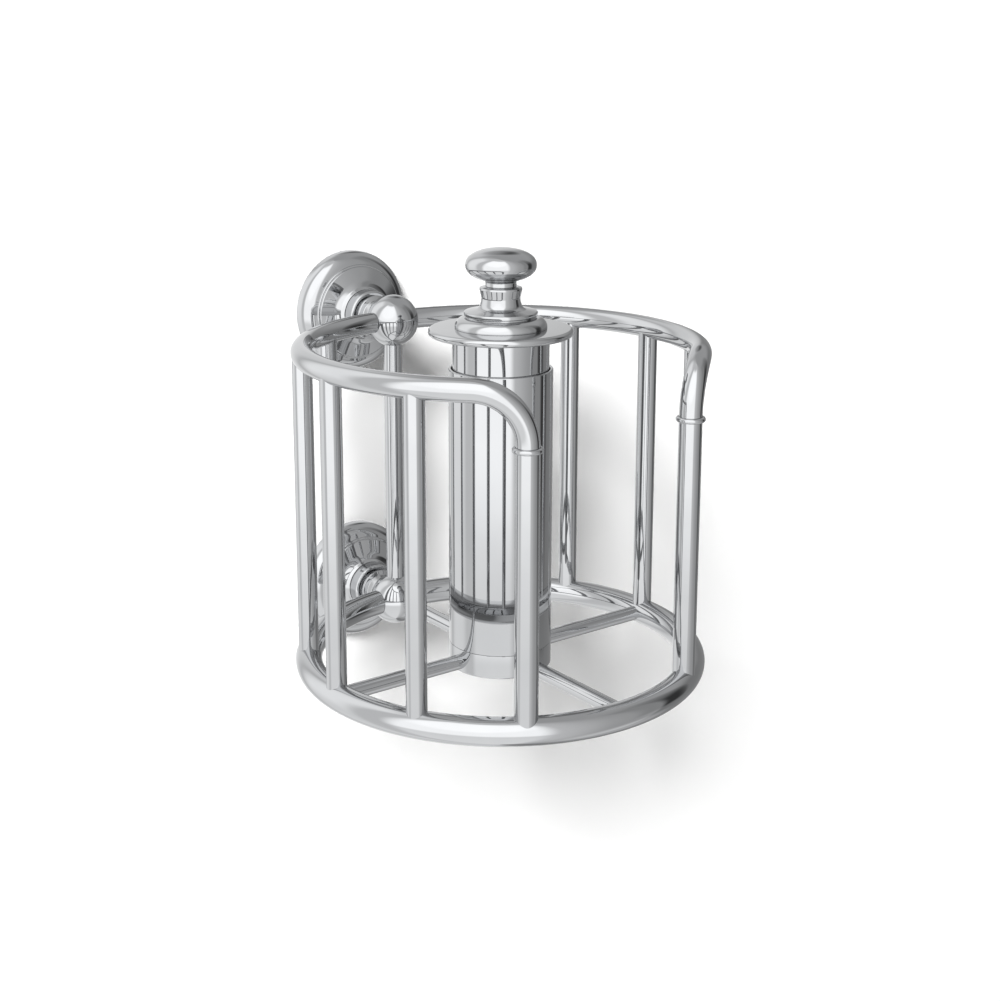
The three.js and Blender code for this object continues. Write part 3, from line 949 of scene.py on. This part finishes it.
knob_corners = [(STUD_BORE, KNOB_FOOT, 0), (KNOB_NECK, KNOB_FOOT, 0.15), (KNOB_NECK, 25.4, 0.6)]
for degrees in range(-62, 90, 4):
    turn = radians(degrees)
    across = KNOB_RADIUS * fuller(cos(turn))
    knob_corners.append((across, KNOB_CENTRE + KNOB_HALF_HEIGHT * fuller(sin(turn)), 0))
knob_corners.append((0.0, KNOB_CENTRE + KNOB_HALF_HEIGHT, 0))
knob_corners += [(0.0, STUD_HOLE_END, 0), (STUD_BORE, STUD_HOLE_END, 0)]
knob_corners.append(knob_corners[0])
knob = turn_upright("polished_knob", knob_corners)
fit(knob, "spindle", turned_chrome, "finial_knob")

# %% [markdown]
# ## What sits inside
# The wall plates, the small locking screws, the stud, plug and nut of the spindle, its nylon foot and the
# rubber pad are hardly seen, and their solids already have the right shape. They stay as they are and
# only get a finish.

# %% Finish the hidden solids
inside = {
    zinc_steel: (
        "upper_wall_plate", "lower_wall_plate", "upper_grub_screw", "lower_grub_screw", "finial_stud",
    ),
    brass: ("spindle_plug", "spindle_nut"),
    nylon: ("glide_foot",),
    rubber: ("post_pad",),
}
for finish, names in inside.items():
    for name in names:
        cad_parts[name].material_slots[0].material = finish
    print(finish.name, "on", ", ".join(names))

# %% [markdown]
# ## Paint for the wall and the floor
# The holder hangs on a white wall over a pale floor. The paint is one-sided, so that a camera behind the
# wall sees the back of the holder. A ray from the camera, a mirror or glass gets a little light added, so
# that the paint reads white and keeps its shadows.

# %% Mix the paint
MOTTLE_SCALE = 6.0
MOTTLE = (0.99, 0.99, 0.985)


def pale_paint(name, colour, lift):
    """White paint with a faint mottle, lifted for the camera and for reflections, clear from behind."""
    paint = bpy.data.materials.new(name)
    paint.use_nodes = True
    nodes, links = paint.node_tree.nodes, paint.node_tree.links
    nodes.remove(nodes["Principled BSDF"])
    place = nodes.new("ShaderNodeTexCoord")
    mottle = nodes.new("ShaderNodeTexNoise")
    mottle.inputs["Scale"].default_value = MOTTLE_SCALE
    shade = nodes.new("ShaderNodeMix")
    shade.data_type = "RGBA"
    shade.inputs[6].default_value = (colour, colour, colour, 1.0)
    shade.inputs[7].default_value = (*(colour * part for part in MOTTLE), 1.0)
    matt = nodes.new("ShaderNodeBsdfDiffuse")
    glow = nodes.new("ShaderNodeEmission")
    path = nodes.new("ShaderNodeLightPath")
    seen = nodes.new("ShaderNodeMath")
    seen.operation = "MAXIMUM"
    seen_through = nodes.new("ShaderNodeMath")
    seen_through.operation = "MAXIMUM"
    amount = nodes.new("ShaderNodeMath")
    amount.operation = "MULTIPLY"
    amount.inputs[1].default_value = lift
    both = nodes.new("ShaderNodeAddShader")
    side = nodes.new("ShaderNodeNewGeometry")
    clear = nodes.new("ShaderNodeBsdfTransparent")
    choice = nodes.new("ShaderNodeMixShader")
    links.new(place.outputs["Object"], mottle.inputs["Vector"])
    links.new(mottle.outputs["Fac"], shade.inputs[0])
    links.new(shade.outputs[2], matt.inputs["Color"])
    links.new(path.outputs["Is Camera Ray"], seen.inputs[0])
    links.new(path.outputs["Is Glossy Ray"], seen.inputs[1])
    links.new(seen.outputs["Value"], seen_through.inputs[0])
    links.new(path.outputs["Is Transmission Ray"], seen_through.inputs[1])
    links.new(seen_through.outputs["Value"], amount.inputs[0])
    links.new(amount.outputs["Value"], glow.inputs["Strength"])
    links.new(matt.outputs["BSDF"], both.inputs[0])
    links.new(glow.outputs["Emission"], both.inputs[1])
    links.new(side.outputs["Backfacing"], choice.inputs[0])
    links.new(both.outputs["Shader"], choice.inputs[1])
    links.new(clear.outputs["BSDF"], choice.inputs[2])
    links.new(choice.outputs["Shader"], nodes["Material Output"].inputs["Surface"])
    return paint


PAINT_LIFT = 0.06
wall_paint = pale_paint("wall_paint", 0.90, PAINT_LIFT)
floor_paint = pale_paint("floor_paint", 0.55, PAINT_LIFT)
print("paint:", wall_paint.name, floor_paint.name)

# %% [markdown]
# ## Wall and floor
# Two planes are enough. The floor's paint is a light grey that reads white under the lamp and throws less
# light back into the shadows on the wall. In the picture the chrome mirrors a wide studio and not the board
# that it hangs on, so wall and floor are kept out of the mirrors, and the studio below has a pale back and a
# pale ground of its own.

# %% Put up the wall and the floor
FLOOR_LEVEL = -0.75
FLOOR_DEPTH = 2.0
WALL_TOP = 0.55
WALL_WIDTH = 4.0
BEHIND = 0.0005
pick(None)
bpy.ops.mesh.primitive_plane_add(
    size=1.0, location=(0.0, BEHIND, (WALL_TOP + FLOOR_LEVEL) / 2), rotation=(radians(90), 0.0, 0.0)
)
wall = bpy.context.object
wall.name = "white_wall"
wall.scale = (WALL_WIDTH, WALL_TOP - FLOOR_LEVEL, 1.0)
wall.data.materials.append(wall_paint)
pick(None)
bpy.ops.mesh.primitive_plane_add(size=1.0, location=(0.0, -FLOOR_DEPTH / 2, FLOOR_LEVEL))
floor = bpy.context.object
floor.name = "pale_floor"
floor.scale = (WALL_WIDTH, FLOOR_DEPTH, 1.0)
floor.data.materials.append(floor_paint)
for board in (wall, floor):
    board.visible_glossy = False
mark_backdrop(wall, floor)
print("stage:", wall.name, floor.name)

# %% [markdown]
# ## The room that the chrome mirrors
# Chrome has hardly any colour of its own, so its look is the room around it. The world is that room, and
# smooth masks on the direction of a ray paint it, so no picture is needed. A direction is taken apart
# first: its height runs from -1 straight down to 1 straight up, and its heading is what is left when it is
# laid flat.

# %% Take a direction apart
world = bpy.data.worlds.new("studio")
bpy.context.scene.world = world
world.use_nodes = True
nodes, links = world.node_tree.nodes, world.node_tree.links
background = nodes["Background"]
direction = nodes.new("ShaderNodeTexCoord")
parts = nodes.new("ShaderNodeSeparateXYZ")
level_only = nodes.new("ShaderNodeVectorMath")
level_only.operation = "MULTIPLY"
level_only.inputs[1].default_value = (1.0, 1.0, 0.0)
heading = nodes.new("ShaderNodeVectorMath")
heading.operation = "NORMALIZE"
links.new(direction.outputs["Generated"], parts.inputs["Vector"])
links.new(direction.outputs["Generated"], level_only.inputs[0])
links.new(level_only.outputs["Vector"], heading.inputs[0])
height = parts.outputs["Z"]
print("world:", world.name)

# %% [markdown]
# A mask is a smooth step on a number. Compared with a heading it makes an upright stripe, compared with a
# direction a round patch, and on the height a band. Angles are in degrees from the front, and widths are
# half-widths: full inside the first, gone at the second.

# %% Make the masks
def soft_edge(value, low, high, low_gives, high_gives):
    """A smooth change from one brightness to another as a value goes from low to high."""
    edge = nodes.new("ShaderNodeMapRange")
    edge.interpolation_type = "SMOOTHSTEP"
    edge.inputs["From Min"].default_value = low
    edge.inputs["From Max"].default_value = high
    edge.inputs["To Min"].default_value = low_gives
    edge.inputs["To Max"].default_value = high_gives
    links.new(value, edge.inputs["Value"])
    return edge.outputs["Result"]


def combine(kind, first, second):
    """One value made of two, such as their sum, product or larger one."""
    sums = nodes.new("ShaderNodeMath")
    sums.operation = kind
    links.new(first, sums.inputs[0])
    links.new(second, sums.inputs[1])
    return sums.outputs["Value"]


def towards(angle):
    """How nearly a ray heads for an angle from the front, from -1 to 1."""
    compare = nodes.new("ShaderNodeVectorMath")
    compare.operation = "DOT_PRODUCT"
    compare.inputs[1].default_value = (sin(radians(angle)), -cos(radians(angle)), 0.0)
    links.new(heading.outputs["Vector"], compare.inputs[0])
    return compare.outputs["Value"]


def stripe(angle, inner, outer, amount):
    """An upright stripe of light or dark, full inside one half-width and gone at the other."""
    return soft_edge(towards(angle), cos(radians(outer)), cos(radians(inner)), 0.0, amount)


def patch(angle, rise, inner, outer, amount):
    """A round patch of light or dark at an angle from the front and a rise above the horizon."""
    compare = nodes.new("ShaderNodeVectorMath")
    compare.operation = "DOT_PRODUCT"
    level = cos(radians(rise))
    compare.inputs[1].default_value = (
        sin(radians(angle)) * level,
        -cos(radians(angle)) * level,
        sin(radians(rise)),
    )
    links.new(direction.outputs["Generated"], compare.inputs[0])
    return soft_edge(compare.outputs["Value"], cos(radians(outer)), cos(radians(inner)), 0.0, amount)


def band(below, foot, foot_full, head_full, head):
    """How much of a part shows at each height: a share below its foot, all of it, none above its head."""
    rise = soft_edge(height, foot, foot_full, below, 1.0)
    return combine("MULTIPLY", rise, soft_edge(height, head_full, head, 1.0, 0.0))


def upright(angle, inner, outer, amount, *heights):
    """A stripe that is cut off or dimmed at some heights."""
    return combine("MULTIPLY", stripe(angle, inner, outer, amount), band(*heights))


# %% [markdown]
# The studio is plain, in greys: a pale ground, a pale left half with a tall screen and a softbox, two panels
# at the back, and a dim right side with a dark drape, a light on the ground and a small dark patch high at
# the back. Each part is added to the rest, and a dark one has an amount below zero.

# %% Paint the studio
studio = {
    "ground": soft_edge(height, -0.90, -0.35, 0.59, 0.55),
    "left half": stripe(-80, 66, 120, 0.375),
    "tall screen": upright(-54, 36, 50, 0.85, 0.34, -0.39, -0.22, 0.93, 0.98),
    "softbox": patch(-55, 42, 20, 36, 0.18),
    "left panel": upright(-146, 10, 30, 0.50, 0.4, -0.60, 0.05, 0.80, 0.96),
    "right panel": upright(161, 3, 28, 0.425, 1.0, -1.00, -0.90, 0.62, 0.90),
    "dim side": upright(98, 33, 42, -0.245, 1.0, -1.00, -0.90, 0.15, 0.60),
    "edge of the drape": upright(60, 10, 24, -0.14, 0.0, -0.41, -0.20, 0.70, 0.88),
    "drape": upright(71, 8, 14, -0.11, 0.0, -0.41, -0.20, 0.50, 0.80),
    "light on the ground": patch(64, -56, 4, 28, 0.35),
    "small dark patch": patch(143, 40, 3, 17, -0.45),
}
light = None
for part in studio.values():
    light = part if light is None else combine("ADD", light, part)
print("studio:", ", ".join(studio))

# %% [markdown]
# The metal has to mirror the studio at full strength, while the wall needs a clear shadow from one lamp.
# So rays that come from the camera or from a mirror see the studio as painted, and it lights matt surfaces
# with about a seventh of that, also by way of the chrome: the diffuse depth counts the matt surfaces that a
# ray has met.

# %% Share the studio light
AMBIENT_SHARE = 0.15
path = nodes.new("ShaderNodeLightPath")
mirrored = combine("MAXIMUM", path.outputs["Is Camera Ray"], path.outputs["Is Glossy Ray"])
mirrored = combine("MAXIMUM", mirrored, path.outputs["Is Transmission Ray"])
mirrored = combine("SUBTRACT", mirrored, path.outputs["Diffuse Depth"])
share = soft_edge(mirrored, 0.0, 1.0, AMBIENT_SHARE, 1.0)
links.new(combine("MULTIPLY", light, share), background.inputs["Strength"])
background.inputs["Color"].default_value = (0.99, 0.995, 1.0, 1.0)
print("studio nodes:", len(nodes))

# %% [markdown]
# ## One soft lamp
# The soft shadow on the wall, to the right of the upper rose and inside the cage, comes from a large lamp
# on the left. The chrome mirrors the painted screen and not the lamp, so the lamp is hidden from mirrors.

# %% Hang the lamp
LAMP_ANGLE = -50
LAMP_LEVEL = 2250.0
LAMP_DISTANCE = 3500.0
lamp_data = bpy.data.lights.new("soft_lamp", "AREA")
lamp_data.shape = "DISK"
lamp_data.size = 1.4
lamp_data.energy = 345.0
lamp = bpy.data.objects.new("soft_lamp", lamp_data)
bpy.context.scene.collection.objects.link(lamp)
lamp.location = on_cage(LAMP_ANGLE, LAMP_LEVEL, LAMP_DISTANCE)
lamp.rotation_euler = (CAGE_AXIS - lamp.location).to_track_quat("-Z", "Y").to_euler()
lamp.visible_glossy = False
print("lamp is", round((lamp.location - CAGE_AXIS).length, 2), "m away")

# %% [markdown]
# ## A last look at the meshes
# A piece that leaves this lesson has to be a closed body. An edge with only one face is a hole, so such
# edges are selected and counted. Then the box of the finished holder is written beside the box of the
# solids, to show that the looks kept to the size.

# %% Count open edges and write the sizes
polished = [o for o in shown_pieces() if o.name.startswith("polished_")]
for piece in polished:
    pick(piece)
    bpy.ops.object.mode_set(mode="EDIT")
    bpy.ops.mesh.select_mode(type="EDGE")
    bpy.ops.mesh.select_all(action="DESELECT")
    bpy.ops.mesh.select_non_manifold()
    bpy.ops.object.mode_set(mode="OBJECT")
    open_edges = sum(edge.select for edge in piece.data.edges)
    if open_edges:
        print("open edges:", piece.name, open_edges)
print("closed pieces checked:", len(polished))
visual_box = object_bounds()
for name, (low, high) in (("solids", cad_box), ("holder", visual_box)):
    print(name, [round(c / MM, 1) for c in low], [round(c / MM, 1) for c in high])
